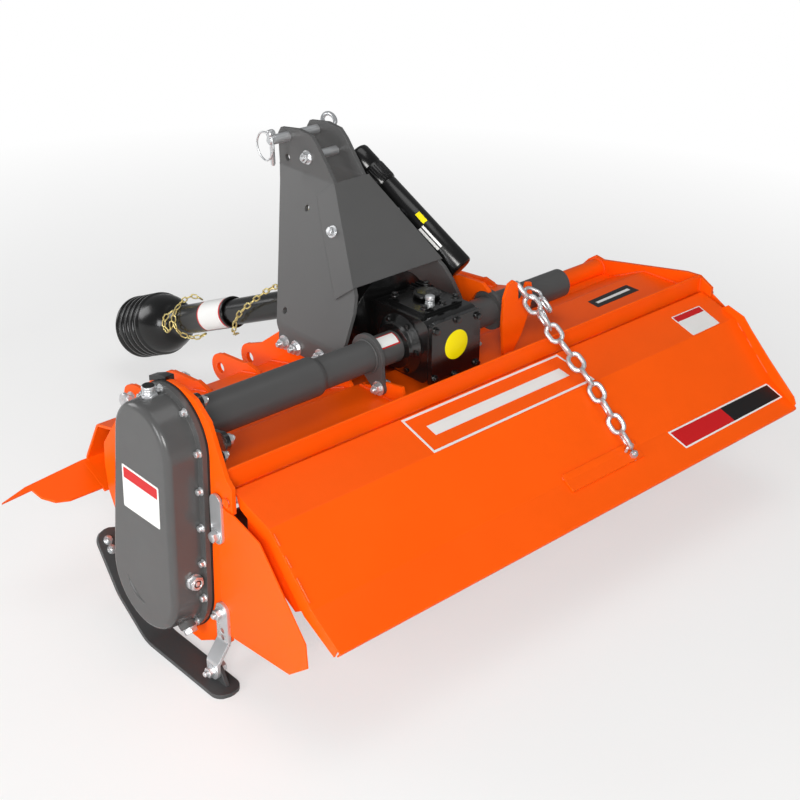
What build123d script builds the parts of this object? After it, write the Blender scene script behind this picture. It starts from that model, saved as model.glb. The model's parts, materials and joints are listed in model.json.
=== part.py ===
"""Rotary tiller for a compact tractor: three-point hitch, shaft-driven rotor, hinged rear tailgate.

Millimetres. While it is drawn, X is to the machine's right, Y is forwards and Z is up; x = 0 is halfway
between the side plates, y = 0 is the rear edge of the deck and z = 0 is the floor. When it is written out
the whole machine is shifted so that the origin is the centre of its footprint.
"""
from build123d import *
from math import acos, atan2, cos, degrees, hypot, sin
import os

# ---------------------------------------------------------------- driving dimensions
WORKING_WIDTH = 1250.0          # between the inner faces of the side plates
SIDE_PLATE = 8.0                # side plate thickness
SHIELD = 3.0                    # rear side shield thickness
SHEET = 4.0                     # deck sheet
GATE_SHEET = 3.0                # tailgate sheet
CLEAR = 0.08                    # radial clearance of a running fit

INNER = WORKING_WIDTH / 2       # inner face of a side plate
OUTER = INNER + SIDE_PLATE      # outer face of a side plate
SIDES = (("left", -1), ("right", 1))

HINGE_Y, HINGE_Z = -16.0, 362.0 # tailgate hinge rod
HINGE_ROD_R, KNUCKLE_R = 6.0, 9.0
DRIVE_Y, DRIVE_Z = 120.0, 441.0   # cross shaft from the gearbox to the gear case
ROTOR_Y, ROTOR_Z = 148.0, 176.0   # rotor axis
STUB_R = 20.0                   # rotor stub shafts
MAST_X = -71.0                  # gearbox, mast and drive shaft stand left of the middle

PIN_Y, PIN_Z = 466.0, 315.0     # lower hitch pins
LOWER_PIN_R, TOP_PIN_R = 11.0, 9.5          # category 1: 22 mm and 19 mm pins
TOP_PIN_Y, TOP_PIN_Z = 470.0, 750.0
CLEVIS_OUTER, CLEVIS_INNER = 428.5, 338.5   # the lugs of a lower clevis, measured from the mast's middle


# ---------------------------------------------------------------- helpers
def prism(outline, x_from, x_to):
    """Extrude a closed (y, z) outline between two x positions."""
    face = make_face(Polyline(*outline, close=True))
    return Pos(x_from, 0, 0) * extrude(Plane.YZ * face, amount=x_to - x_from)


def bent_sheet(path, thickness, x_from, x_to, radius):
    """Sheet metal bent along a (y, z) path, with rounded bends, between two x positions."""
    section = trace(FilletPolyline(*path, radius=radius), line_width=thickness)
    return Pos(x_from, 0, 0) * extrude(Plane.YZ * section, amount=x_to - x_from)


def rod(y, z, radius, x_from, x_to):
    """Cylinder along X."""
    circle = Plane.YZ * Pos(y, z) * Circle(radius)
    return Pos(x_from, 0, 0) * extrude(circle, amount=x_to - x_from)


def pipe(y, z, radius, bore, x_from, x_to):
    """Tube along X."""
    ring = Plane.YZ * Pos(y, z) * (Circle(radius) - Circle(bore))
    return Pos(x_from, 0, 0) * extrude(ring, amount=x_to - x_from)


def stadium(radius, low, high, y):
    """Outline of two equal circles at heights low and high joined by their tangents."""
    middle = Pos(y, (low + high) / 2) * Rectangle(2 * radius, high - low)
    return middle + Pos(y, low) * Circle(radius) + Pos(y, high) * Circle(radius)


def capsule(low, low_r, high, high_r):
    """Outline of two circles, centred on the (y, z) points low and high, joined by their tangents."""
    heading = atan2(high[1] - low[1], high[0] - low[0])
    spread = acos((low_r - high_r) / hypot(high[0] - low[0], high[1] - low[1]))
    corners = []
    for (y, z), radius, side in ((low, low_r, 1), (high, high_r, 1), (high, high_r, -1), (low, low_r, -1)):
        angle = heading + side * spread
        corners.append((y + radius * cos(angle), z + radius * sin(angle)))
    return make_face(Polyline(*corners, close=True)) + Pos(*low) * Circle(low_r) + Pos(*high) * Circle(high_r)


def standing(radius, from_z, to_z):
    """Cylinder along Z."""
    return Pos(0, 0, from_z) * extrude(Circle(radius), amount=to_z - from_z)


def tangent_strip(start, end, half_width):
    """Outline of a straight strip between two (y, z) points."""
    length = hypot(end[0] - start[0], end[1] - start[1])
    dy, dz = (end[0] - start[0]) / length * half_width, (end[1] - start[1]) / length * half_width
    return ((start[0] - dz, start[1] + dy), (end[0] - dz, end[1] + dy), (end[0] + dz, end[1] - dy),
            (start[0] + dz, start[1] - dy))


def mirrored(shape, about_x=0.0):
    """The same piece on the other side of the plane x = about_x."""
    return mirror(shape, Plane.YZ.offset(about_x))


parts = {}

# ---------------------------------------------------------------- deck
DECK_PATH = ((2, 407), (2, 368), (150, 368), (236, 328), (262, 328))
TUBE_Y, TUBE_Z, TUBE_R = 282.0, 338.0, 21.0     # front tube
BEAM_PATH = ((298, 356), (395, 331), (448, 238), (372, 207))
DECK_KNUCKLES = (-420, -140, 140, 420)
KNUCKLE_LEAF = ((-16, 353), (24, 356), (28, 366), (12, 366), (3, 359), (-10, 359))    # under the tailgate
BRACKET_LUG = ((20, 369), (33, 408), (80, 400), (100, 388), (150, 369))     # carries the drive tube's bracket


def deck():
    sheet = bent_sheet(DECK_PATH, SHEET, -INNER, INNER, 5)
    for x in DECK_KNUCKLES:
        sheet += prism(KNUCKLE_LEAF, x - 20, x + 20)
        sheet += rod(HINGE_Y, HINGE_Z, KNUCKLE_R, x - 20, x + 20)
    sheet += prism(BRACKET_LUG, -208, -202)
    sheet -= rod(TUBE_Y, TUBE_Z, TUBE_R, -INNER, INNER)
    return sheet - rod(HINGE_Y, HINGE_Z, HINGE_ROD_R, -INNER, INNER)


def front_beam():
    """Formed beam along the front of the deck."""
    sheet = bent_sheet(BEAM_PATH, 5, -INNER, INNER, 8)
    return sheet - rod(TUBE_Y, TUBE_Z, TUBE_R, -INNER, INNER)


def gear_case_deflector():
    """Beam's lower flange carried on in front of the gear case, with a rounded corner and a pointed ear."""
    outline = ((-OUTER, 0), (-OUTER, -74), (-700, -74), (-726, -66), (-744, -46), (-750, -22), (-812, -27),
               (-758, -12))
    rise = BEAM_PATH[2][1] - BEAM_PATH[3][1]
    slope = degrees(atan2(rise, BEAM_PATH[2][0] - BEAM_PATH[3][0]))
    plate = extrude(make_face(Polyline(*outline, close=True)), amount=5)
    return Pos(0, BEAM_PATH[2][0] + 1, BEAM_PATH[2][1] - 2.5) * Rot(slope, 0, 0) * plate


parts["deck"] = deck()
parts["front_tube"] = pipe(TUBE_Y, TUBE_Z, TUBE_R, TUBE_R - 4, -INNER, INNER)
parts["front_beam"] = front_beam()
parts["gear_case_deflector"] = gear_case_deflector()

# ---------------------------------------------------------------- side plates and shields
PLATE_LOW = ((364, 266), (358, 216), (310, 120), (220, 50), (110, 30), (85, 30), (48, 52), (-4, 76), (-4, 326),
             (-30, 344))
LEFT_PLATE = ((-30, 392), (-16, 404), (24, 492), (60, 519), (96, 526), (130, 526), (184, 507), (293, 403),
              (360, 313))
RIGHT_PLATE = ((-30, 388), (4, 406), (40, 404), (268, 361), (292, 365), (310, 352), (330, 330))
SHIELD_OUTLINE = ((10, 380), (-24, 390), (-45, 401), (-106, 332), (-216, 202), (-220, 149), (-172, 108),
                  (10, 92))
STRAP_Y, STRAP_LOW_Z = 7.0, 290.0
ROTOR_HOLE = 46.0


def side_plate(top_outline):
    """Left side plate: the given top outline over the common lower outline."""
    plate = prism(top_outline + PLATE_LOW, -OUTER, -INNER)
    plate -= rod(ROTOR_Y, ROTOR_Z, ROTOR_HOLE, -OUTER, -INNER)
    return plate - rod(HINGE_Y, HINGE_Z, HINGE_ROD_R, -OUTER, -INNER)


def side_shield():
    """Rear extension of the left side plate, bolted to its outer face."""
    plate = prism(SHIELD_OUTLINE, -OUTER - SHIELD, -OUTER)
    return plate - rod(HINGE_Y, HINGE_Z, HINGE_ROD_R, -OUTER - SHIELD, -OUTER)


def shield_strap():
    """Keeper strap over the end of the hinge rod, bolted to the shield."""
    outline = stadium(15, STRAP_LOW_Z, STRAP_LOW_Z + 64, STRAP_Y)
    return Pos(-OUTER - SHIELD - 5, 0, 0) * extrude(Plane.YZ * outline, amount=5)


parts["side_plate_left"] = side_plate(LEFT_PLATE)
parts["side_plate_right"] = mirrored(side_plate(RIGHT_PLATE))
parts["side_shield_left"] = side_shield()
parts["side_shield_right"] = mirrored(side_shield())
parts["shield_strap_left"] = shield_strap()
parts["shield_strap_right"] = mirrored(shield_strap())
parts["hinge_rod"] = rod(HINGE_Y, HINGE_Z, HINGE_ROD_R, -OUTER - SHIELD, OUTER + SHIELD)

# ---------------------------------------------------------------- skids
SKID_PATH = ((-44, 4), (178, 4), (262, 62), (327, 154))
SKID_WIDTH, SKID_X = 55.0, -662.0


def skid():
    """Runner with rounded ends, a lug for its height strap and a tab bolted to the side plate."""
    runner = bent_sheet(SKID_PATH, 8, SKID_X - SKID_WIDTH / 2, SKID_X + SKID_WIDTH / 2, 60)
    y_back, y_front = SKID_PATH[0][0], SKID_PATH[-1][0] + 4
    plan = Pos(SKID_X, (y_back + y_front) / 2) * RectangleRounded(SKID_WIDTH, y_front - y_back, 22)
    runner &= extrude(plan, amount=300)
    lug = prism(((-25, 8), (35, 8), (20, 34), (12, 40), (-2, 40), (-10, 34)), SKID_X + 1, SKID_X + 9)
    tab = prism(((264, 66), (314, 136), (312, 160), (282, 160), (252, 108)), -OUTER - 8, -OUTER)
    return runner + lug + tab


def skid_strap():
    """Height strap: bolted to the side shield above and to the skid's lug below."""
    top, foot = -OUTER - SHIELD - 3, SKID_X - 2
    path = ((top, 156), (top, 80), (foot, 45), (foot, 12))
    section = trace(FilletPolyline(*path, radius=10), line_width=6)
    strap = Pos(0, 21, 0) * extrude(Plane.XZ * section, amount=32)
    strap &= Pos(-700, 0, 0) * extrude(Plane.YZ * stadium(16, 28, 140, 5), amount=100)
    for z in (86, 100):
        strap -= rod(5, z, 5, -700, -600)
    return strap


parts["skid_left"] = skid()
parts["skid_right"] = mirrored(skid())
parts["skid_strap_left"] = skid_strap()
parts["skid_strap_right"] = mirrored(skid_strap())

# ---------------------------------------------------------------- cross shaft, gear case and gearbox
DRIVE_TUBE_R, NECK_R, NECK_X = 36.5, 30.0, -345.0
GEARBOX_LEFT, GEARBOX_RIGHT, GEARBOX_WIDTH = -150.0, 8.0, 126.0
GEARBOX_BACK, GEARBOX_FRONT = 45.0, 205.0
GEARBOX_LOW, GEARBOX_HIGH = 382.0, 506.0
COVER_THICK = 10.0
CASE_LOW, CASE_LOW_R, CASE_HIGH, CASE_HIGH_R = (148, 157), 111.0, (122.7, 428), 95.0   # flange outline
CASE_INNER, CASE_FACE = -OUTER - 3, -703.0      # the case sits on a 3 mm gasket
SUPPORT_R, RING_R, RING_X = 29.0, 40.0, 103.0   # tube from the gearbox's right side, and its collar
FLANGE_BOLTS = ((20, 425), (2, 463), (70, 505), (170, 490))


def drive_tube():
    tube = rod(DRIVE_Y, DRIVE_Z, DRIVE_TUBE_R, -INNER, NECK_X)
    return tube + rod(DRIVE_Y, DRIVE_Z, NECK_R, NECK_X, GEARBOX_LEFT)


def case_outline(inset):
    """Gear case outline, inset from its flange's edge."""
    return Plane.YZ * capsule(CASE_LOW, CASE_LOW_R - inset, CASE_HIGH, CASE_HIGH_R - inset)


def gear_case():
    flange = extrude(case_outline(0), amount=-10)
    body = extrude(case_outline(12), amount=CASE_FACE - CASE_INNER, taper=4)
    body = fillet(body.faces().sort_by(Axis.X)[0].edges(), 12)
    body += Pos(-32, 137, 480) * standing(15, 0, 27)
    hub = rod(ROTOR_Y, ROTOR_Z, 40, CASE_INNER, -INNER + 6)
    bore = rod(ROTOR_Y, ROTOR_Z, STUB_R + CLEAR, CASE_INNER - 20, -INNER + 6)
    return Pos(CASE_INNER, 0, 0) * (flange + body) + hub - bore


def gear_case_gasket():
    sheet = extrude(case_outline(-1.5), amount=-3)
    return Pos(-OUTER, 0, 0) * sheet - rod(ROTOR_Y, ROTOR_Z, ROTOR_HOLE, -OUTER - 3, -OUTER)


def rotor_bearing():
    housing = rod(ROTOR_Y, ROTOR_Z, 62, OUTER, OUTER + 8) + rod(ROTOR_Y, ROTOR_Z, 38, OUTER, OUTER + 32)
    housing += rod(ROTOR_Y, ROTOR_Z, ROTOR_HOLE - 4, INNER - 4, OUTER)
    return housing - rod(ROTOR_Y, ROTOR_Z, STUB_R + CLEAR, INNER - 4, OUTER + 24)


def gearbox():
    """Cast housing: filleted block, flared necks, front nose, top plate, ribs and rear cover."""
    width, height = GEARBOX_WIDTH, GEARBOX_HIGH - GEARBOX_LOW
    middle = Pos(MAST_X, (GEARBOX_BACK + GEARBOX_FRONT) / 2, (GEARBOX_LOW + GEARBOX_HIGH) / 2)
    block = middle * Box(width, GEARBOX_FRONT - GEARBOX_BACK, height)
    block = fillet(block.edges().filter_by(Axis.X), 18)
    reach = (GEARBOX_RIGHT - GEARBOX_LEFT) / 2
    flare = ((0, 0), (0, 62), (width / 2 - 4, 62), (width / 2, 58), (reach - 6, 46), (reach, 43), (reach, 0))
    neck = revolve(Plane.XY * make_face(Polyline(*flare, close=True)), Axis.X)
    block += Pos(MAST_X, DRIVE_Y, DRIVE_Z) * (neck + mirrored(neck))
    block += Pos(MAST_X, GEARBOX_FRONT - 2, DRIVE_Z) * Rot(-90, 0, 0) * standing(48, 0, 32)
    block += Pos(MAST_X, DRIVE_Y, GEARBOX_HIGH) * Box(96, 96, 12)
    for offset in (28, 38, 48, 58):
        block += Pos(MAST_X + offset, 178, GEARBOX_HIGH - 2) * Box(4, 40, 12)
    cover_middle = Pos(MAST_X, GEARBOX_BACK - COVER_THICK / 2, (GEARBOX_LOW + GEARBOX_HIGH) / 2)
    cover = cover_middle * Box(124, COVER_THICK, height)
    return block + fillet(cover.edges().filter_by(Axis.Y), 6)


def support_tube():
    tube = rod(DRIVE_Y, DRIVE_Z, SUPPORT_R, GEARBOX_RIGHT, 306)
    tube += rod(DRIVE_Y, DRIVE_Z, RING_R, RING_X - 5, RING_X + 5)
    return tube - rod(DRIVE_Y, DRIVE_Z, SUPPORT_R - 5, GEARBOX_RIGHT, 306)


def tube_flange():
    """Flange by which the drive tube is bolted to the inside of the side plate."""
    plate = rod(DRIVE_Y, DRIVE_Z, 70, -INNER, -INNER + 8)
    for y, z in FLANGE_BOLTS:
        ear = Pos(-INNER, 0, 0) * extrude(Plane.YZ * (Pos(y, z) * Circle(16)), amount=8)
        plate += ear + prism(tangent_strip((y, z), (DRIVE_Y, DRIVE_Z), 15), -INNER, -INNER + 8)
    return plate - rod(DRIVE_Y, DRIVE_Z, DRIVE_TUBE_R, -INNER, -INNER + 8)


def tube_bracket():
    """Plate hung on the drive tube's neck and bolted to a lug on the deck."""
    plate = rod(DRIVE_Y, DRIVE_Z, 42, -216, -208) + rod(87, 388, 14, -216, -208)
    plate += prism(((82, 460), (74, 383), (100, 380), (158, 425)), -216, -208)
    return plate - rod(DRIVE_Y, DRIVE_Z, NECK_R, -216, -208)


def input_shield():
    """Dished guard round the gearbox's input shaft, open to the front."""
    profile = ((48, 0), (96, 12), (96, 48), (92, 48), (92, 15), (48, 4))
    dish = revolve(Plane.XY * make_face(Polyline(*profile, close=True)), Axis.Y)
    return Pos(MAST_X, GEARBOX_FRONT, DRIVE_Z) * dish


parts["drive_tube"] = drive_tube()
parts["tube_flange"] = tube_flange()
parts["gear_case"] = gear_case()
parts["gear_case_gasket"] = gear_case_gasket()
parts["rotor_bearing"] = rotor_bearing()
parts["gearbox"] = gearbox()
parts["support_tube"] = support_tube()
parts["tube_bracket"] = tube_bracket()
parts["input_shield"] = input_shield()

# ---------------------------------------------------------------- mast
MAST_LOW, MAST_TOP, MAST_PLATE = 159.0, 36.0, 8.0     # half distances between the plates' middles
KNEE_Z, NECK_Z = 428.0, 690.0                         # bends of a mast plate
LEAN = (MAST_LOW - MAST_TOP) / (NECK_Z - KNEE_Z)      # how far a plate leans in for each mm it rises
MAST_OUTLINE = ((358, 384), (200, 388), (172, 402), (170, 434), (176, 500), (186, 528), (332, 690),
                (384, 752), (402, 767), (439, 771), (492, 763), (501, 750), (498, 690), (481, 661),
                (422, 546), (356, 415))
BASE_OUTLINE = ((495, 315), (487, 334), (472, 343), (428, 361), (366, 408), (300, 416), (215, 416),
                (180, 400), (152, 367), (236, 329), (262, 329), (282, 340), (300, 355), (396, 331),
                (447, 240), (470, 286))
SADDLE_OUTLINE = ((430, 361), (300, 440), (240, 478), (198, 492), (133, 495), (114, 484), (114, 441),
                  (190, 392), (300, 400))
SPACER_Y, SPACER_Z = 412.0, 722.0
GUARD_GAP = MAST_PLATE / 2 + 2.4                      # from a mast plate's middle to the guard's flange
MAST_HOLES = ((TOP_PIN_Y, TOP_PIN_Z, TOP_PIN_R), (SPACER_Y, SPACER_Z, 6), (473, 707, 7), (383, 634, 6),
              (352, 455, 6))
GUARD_LOW, GUARD_HIGH = (195.6, 539.4), (331.7, 690.3)


def leaning(half_low, half_top, thickness):
    """Both sides of the mast as bent walls, at the given half distances from its middle."""
    walls = []
    for side in (-1, 1):
        low, top = MAST_X + side * half_low, MAST_X + side * half_top
        path = ((low, 360), (low, KNEE_Z), (top, NECK_Z), (top, 800))
        section = trace(FilletPolyline(*path, radius=24), line_width=thickness)
        walls.append(extrude(Plane.XZ * section, amount=-600))
    return walls


def mast_plate(wall):
    """Mast plate: upright foot, leaning middle and upright head."""
    plate = wall & prism(MAST_OUTLINE, MAST_X - 200, MAST_X + 200)
    for y, z, radius in MAST_HOLES:
        plate -= rod(y, z, radius, MAST_X - 200, MAST_X + 200)
    return plate


def mast_base(x):
    """Plate welded to the deck and the front beam and bolted to a mast plate's foot."""
    plate = prism(BASE_OUTLINE, x, x + 8) + rod(PIN_Y, PIN_Z, 29, x, x + 8)
    plate -= [parts["deck"], parts["front_beam"], rod(TUBE_Y, TUBE_Z, TUBE_R, x, x + 8)]
    return plate - rod(PIN_Y, PIN_Z, LOWER_PIN_R, x, x + 8)


def tube_saddle(x):
    """Rear part of the right base plate, cut to seat the support tube's collar."""
    return prism(SADDLE_OUTLINE, x, x + 8) - rod(DRIVE_Y, DRIVE_Z, RING_R, x, x + 8)


def mast_guard():
    """Sheet across the mast's rear edges with a flange down the outside of each plate."""
    (y_low, z_low), (y_high, z_high) = GUARD_LOW, GUARD_HIGH
    rear_face = ((y_high - 2.3, z_high + 2), (y_low - 2.3, z_low + 2))
    sheet = prism((GUARD_LOW, GUARD_HIGH) + rear_face, MAST_X - 200, MAST_X + 200)
    wide, narrow = [MAST_LOW + GUARD_GAP + 1.6 - LEAN * (z - KNEE_Z) for z in (500, NECK_Z)]
    between = make_face(Polyline((-wide, 500), (wide, 500), (narrow, NECK_Z), (narrow, 720), (-narrow, 720),
                                 (-narrow, NECK_Z), close=True))
    sheet &= Pos(MAST_X, 0, 0) * extrude(Plane.XZ * between, amount=-600)
    flange = ((y_low, z_low), (y_high, z_high), (y_high + 34, z_high - 28), (y_low + 34, z_low - 28))
    for wall in leaning(MAST_LOW + GUARD_GAP, MAST_TOP + GUARD_GAP, 3):
        sheet += wall & prism(flange, MAST_X - 200, MAST_X + 200)
    return sheet


def document_tube():
    """Capped canister along the guard's right edge, on two stand-offs."""
    foot, head = Vector(67, 150, 541), Vector(-2, 393, 732)
    length = (head - foot).length
    canister = standing(24, 0, length) + standing(26, length - 92, length - 4)
    tube = Plane(origin=foot, z_dir=head - foot) * canister
    for share, reach in ((0.35, 32), (0.62, 36)):
        middle = foot + (head - foot) * share
        stand_off = rod(middle.Y, middle.Z, 6, middle.X - reach, middle.X)
        tube += stand_off - parts["mast_guard"] - parts["mast_plate_right"]
    return tube


left_wall, right_wall = leaning(MAST_LOW, MAST_TOP, MAST_PLATE)
parts["mast_plate_left"] = mast_plate(left_wall)
parts["mast_plate_right"] = mast_plate(right_wall)
RIGHT_BASE_X = MAST_X + MAST_LOW + MAST_PLATE / 2
parts["mast_base_left"] = mast_base(MAST_X - MAST_LOW + MAST_PLATE / 2)
parts["mast_base_right"] = mast_base(RIGHT_BASE_X) + tube_saddle(RIGHT_BASE_X)
parts["mast_guard"] = mast_guard()
parts["document_tube"] = document_tube()
parts["top_pin"] = rod(TOP_PIN_Y, TOP_PIN_Z, TOP_PIN_R, MAST_X - 75, MAST_X + 55)
mast_spacer = rod(SPACER_Y, SPACER_Z, 6, MAST_X - 46, MAST_X + 46)
parts["mast_spacer"] = mast_spacer + rod(SPACER_Y, SPACER_Z, 9, MAST_X - 32, MAST_X + 32)

# ---------------------------------------------------------------- lower hitch
LUG_PLATE = 8.0
LINK_LUG = 223.0                # from the mast's middle
LUG_OUTLINE = ((495, 315), (487, 334), (463, 347), (388, 354), (378, 358), (353, 353), (339, 345), (397, 331),
               (446, 254), (468, 286), (486, 296))


def hitch_lug(x):
    """Ear plate that stands on the front beam and carries a lower hitch hole."""
    plate = prism(LUG_OUTLINE, x - LUG_PLATE / 2, x + LUG_PLATE / 2)
    plate += rod(PIN_Y, PIN_Z, 29, x - LUG_PLATE / 2, x + LUG_PLATE / 2)
    plate -= parts["front_beam"]
    return plate - rod(PIN_Y, PIN_Z, LOWER_PIN_R, x - LUG_PLATE / 2, x + LUG_PLATE / 2)


def lower_pin(outer, inner, sign):
    """Headed pin from outside the outer lug to beyond the inner one."""
    shank = rod(PIN_Y, PIN_Z, LOWER_PIN_R, *sorted((outer + sign * 16, inner - sign * 36)))
    return shank + rod(PIN_Y, PIN_Z, 17, *sorted((outer + sign * 16, outer + sign * 22)))


for side, sign in SIDES:
    outer, inner = MAST_X + sign * CLEVIS_OUTER, MAST_X + sign * CLEVIS_INNER
    parts["hitch_lug_outer_" + side] = hitch_lug(outer)
    parts["hitch_lug_inner_" + side] = hitch_lug(inner)
    parts["link_lug_" + side] = hitch_lug(MAST_X + sign * LINK_LUG)
    parts["lower_pin_" + side] = lower_pin(outer, inner, sign)

# ---------------------------------------------------------------- tailgate
GATE_END = 617.5
GATE_PATH = ((-12, 375), (-104, 346.5), (-208, 244.5), (-277, 200.5), (-270, 192))
GATE_RIB = ((-20, 372), (-104, 345), (-207, 243), (-270, 203), (-262, 186), (-190, 224), (-96, 316),
            (-28, 350))
ANCHOR_PATH = ((-200.2, 256.6), (-210, 247), (-229.7, 234.4))
GATE_KNUCKLES = (-560, -280, 0, 280, 560)


def tailgate_end(side):
    """Turned-down end of the panel; side is -1 for left and 1 for right."""
    return prism(GATE_RIB, *sorted((side * GATE_END, side * (GATE_END - GATE_SHEET))))


def tailgate():
    panel = bent_sheet(GATE_PATH, GATE_SHEET, -GATE_END, GATE_END, 3)
    for x in GATE_KNUCKLES:
        panel += rod(HINGE_Y, HINGE_Z, KNUCKLE_R, x - 30, x + 30)
        panel += prism(((-25, 362), (-8, 362), (-12, 375), (-32, 369)), x - 30, x + 30)
    for side in (-1, 1):
        panel += tailgate_end(side)
    return panel - rod(HINGE_Y, HINGE_Z, HINGE_ROD_R + CLEAR, -GATE_END, GATE_END)


parts["tailgate"] = tailgate()
parts["chain_anchor"] = bent_sheet(ANCHOR_PATH, GATE_SHEET, -25, 176, 3)

# ---------------------------------------------------------------- chain bracket and chain
CHAIN_PATH = (Vector(122, 70, 508), Vector(141, -108, 365), Vector(152, -221, 257))   # slot, bend, anchor
LINKS, WIRE_R, LINK_HALF = 11, 3.5, 12.0


def chain_bracket():
    """Forked plate that stands on the deck."""
    outline = ((82, 370), (108, 370), (132, 402), (150, 446), (157, 474), (152, 505), (138, 508),
               (130, 477), (117, 477), (115, 512), (102, 522), (88, 517), (77, 490), (75, 440))
    plate = extrude(Plane.XZ * make_face(Polyline(*outline, close=True)), amount=6)
    return Pos(0, 64, 0) * fillet(plate.edges().filter_by(Axis.Y), 3)


def chain_link(start, end, on_edge):
    """Oval link between two points, on its edge or lying flat."""
    half_length = (end - start).length / 2 + WIRE_R - 0.4
    outside = SlotOverall(2 * half_length, 2 * LINK_HALF, rotation=90)
    inside = SlotOverall(2 * (half_length - 2 * WIRE_R), 2 * (LINK_HALF - 2 * WIRE_R), rotation=90)
    ring = Plane.XZ * (outside - inside)
    link = Pos(0, WIRE_R, 0) * extrude(ring, amount=2 * WIRE_R)
    along = Plane(origin=(start + end) / 2, x_dir=(1, 0, 0), z_dir=end - start)
    return along * Rot(0, 0, 90 if on_edge else 0) * link


def tailgate_chain():
    route = Polyline(*CHAIN_PATH)
    ends = [route @ (number / LINKS) for number in range(LINKS + 1)]
    links = [chain_link(ends[number], ends[number + 1], number % 2 == 0) for number in range(LINKS)]
    return Compound(children=links)


parts["chain_bracket"] = chain_bracket()
parts["tailgate_chain"] = tailgate_chain()

# ---------------------------------------------------------------- rotor
ROTOR_R = 160.0
ROTOR_TUBE_R, ROTOR_FLANGE_R = 35.0, 78.0
FLANGES = (-560, -336, -112, 112, 336, 560)
BLADE_THICK, BLADE_WIDTH, BLADE_REACH = 8.0, 50.0, 70.0


def tine(hand):
    """L-shaped blade standing along +Z on the face of a flange at x = 0; hand is the way it turns."""
    path = ((hand * 8, 48), (hand * 8, ROTOR_R - 14), (hand * (8 + BLADE_REACH), ROTOR_R - 14))
    section = trace(FilletPolyline(*path, radius=22), line_width=BLADE_THICK)
    blade = Pos(0, BLADE_WIDTH / 2, 0) * extrude(Plane.XZ * section, amount=BLADE_WIDTH)
    return blade & rod(0, 0, ROTOR_R, -200, 200)


def tine_gang(number, x):
    """Four blades on one flange, turned alternately; those on the end flanges all turn inwards."""
    blades = []
    for quarter in range(4):
        hand = 1 if quarter % 2 else -1
        if number in (1, len(FLANGES)):
            hand = 1 if number == 1 else -1
        turn = quarter * 90 + number * 15
        blades.append(Pos(x, ROTOR_Y, ROTOR_Z) * Rot(turn, 0, 0) * tine(hand))
    return Compound(children=blades)


def rotor_shaft():
    shaft = rod(ROTOR_Y, ROTOR_Z, ROTOR_TUBE_R, -598, 598)
    shaft += rod(ROTOR_Y, ROTOR_Z, STUB_R, -INNER - 24, INNER + 28)
    for x in FLANGES:
        shaft += rod(ROTOR_Y, ROTOR_Z, ROTOR_FLANGE_R, x - 4, x + 4)
    return shaft


parts["rotor_shaft"] = rotor_shaft()
for number, x in enumerate(FLANGES, start=1):
    parts["tines_%d" % number] = tine_gang(number, x)

# ---------------------------------------------------------------- drive shaft
JOINT_Y = 364.0                 # centre of the rear universal joint, level with the gearbox's shaft
DROOP = 23.7                    # degrees that the resting shaft hangs below level, on its guard's chain
BELL_R, BELL_END = 76.0, 820.0  # rim of the outer guard's bell
TRACTOR_JOINT = 742.0           # distances along the shaft from the rear joint
YOKE_BORE = 17.5                # 1 3/8 in splined shaft end
CROSS_R, CROSS_HALF = 8.0, 40.0

shaft_frame = Pos(MAST_X, JOINT_Y, DRIVE_Z) * Rot(-90 - DROOP, 0, 0)   # local +Z runs out along the shaft
input_frame = Pos(MAST_X, JOINT_Y, DRIVE_Z) * Rot(-90, 0, 0)           # local +Z runs forwards, level


def turned(profile):
    """Revolve a closed (radius, distance along the shaft) profile about the shaft's axis."""
    return shaft_frame * revolve(Plane.XZ * make_face(Polyline(*profile, close=True)), Axis.Z)


def yoke(hub_from, hub_to, bore, turn):
    """Forked end about a joint centre at the origin, with its ears on either side of the axis."""
    ear = Plane.YZ * (Circle(18) + Pos(0, -hub_to / 2) * Rectangle(36, hub_to))
    ears = extrude(ear, amount=12)
    fork = Pos(26, 0, 0) * ears + Pos(-38, 0, 0) * ears
    web = Pos(0, 0, -hub_to + 5) * Box(76, 36, 10)
    hub = standing(24, -hub_from, -hub_to)
    pins = Plane.YZ * Circle(CROSS_R + CLEAR)
    body = fork + web + hub - Pos(-50, 0, 0) * extrude(pins, amount=100)
    body -= standing(bore, -hub_from, -hub_to + 10)
    return Rot(0, 0, turn) * body


def cross():
    pins = Plane.YZ * Circle(CROSS_R)
    bar = Pos(-CROSS_HALF, 0, 0) * extrude(pins, amount=2 * CROSS_HALF)
    return bar + Rot(0, 0, 90) * bar + Box(26, 26, 26)


parts["input_shaft"] = input_frame * standing(YOKE_BORE, GEARBOX_FRONT + 30 - JOINT_Y, -46)
parts["input_yoke"] = input_frame * yoke(80, 46, YOKE_BORE, 0)
parts["joint_cross"] = shaft_frame * cross()
parts["inner_profile"] = shaft_frame * (Rot(180, 0, 0) * yoke(76, 46, 10, 90) + standing(14, 46, 540))
parts["guard_inner"] = turned(((29, 120), (62, 60), (62, 24), (59, 24), (59, 60), (26, 118), (26, 480),
                               (29, 480)))
parts["guard_outer"] = turned(((34, 400), (34, 640), (50, 654), (68, 690), (74, 730), (BELL_R, 750),
                               (BELL_R, BELL_END), (BELL_R - 3, BELL_END), (BELL_R - 3, 750), (71, 730),
                               (65, 692), (48, 657), (31, 643), (31, 400)))
outer_tube = standing(20, 410, TRACTOR_JOINT - 46) - standing(14 + CLEAR, 410, 650)
parts["outer_profile"] = shaft_frame * (Pos(0, 0, TRACTOR_JOINT) * yoke(76, 46, 10, 90) + outer_tube)
parts["tractor_cross"] = shaft_frame * Pos(0, 0, TRACTOR_JOINT) * cross()
parts["tractor_yoke"] = shaft_frame * Pos(0, 0, TRACTOR_JOINT) * Rot(180, 0, 0) * yoke(70, 46, YOKE_BORE, 0)


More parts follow.
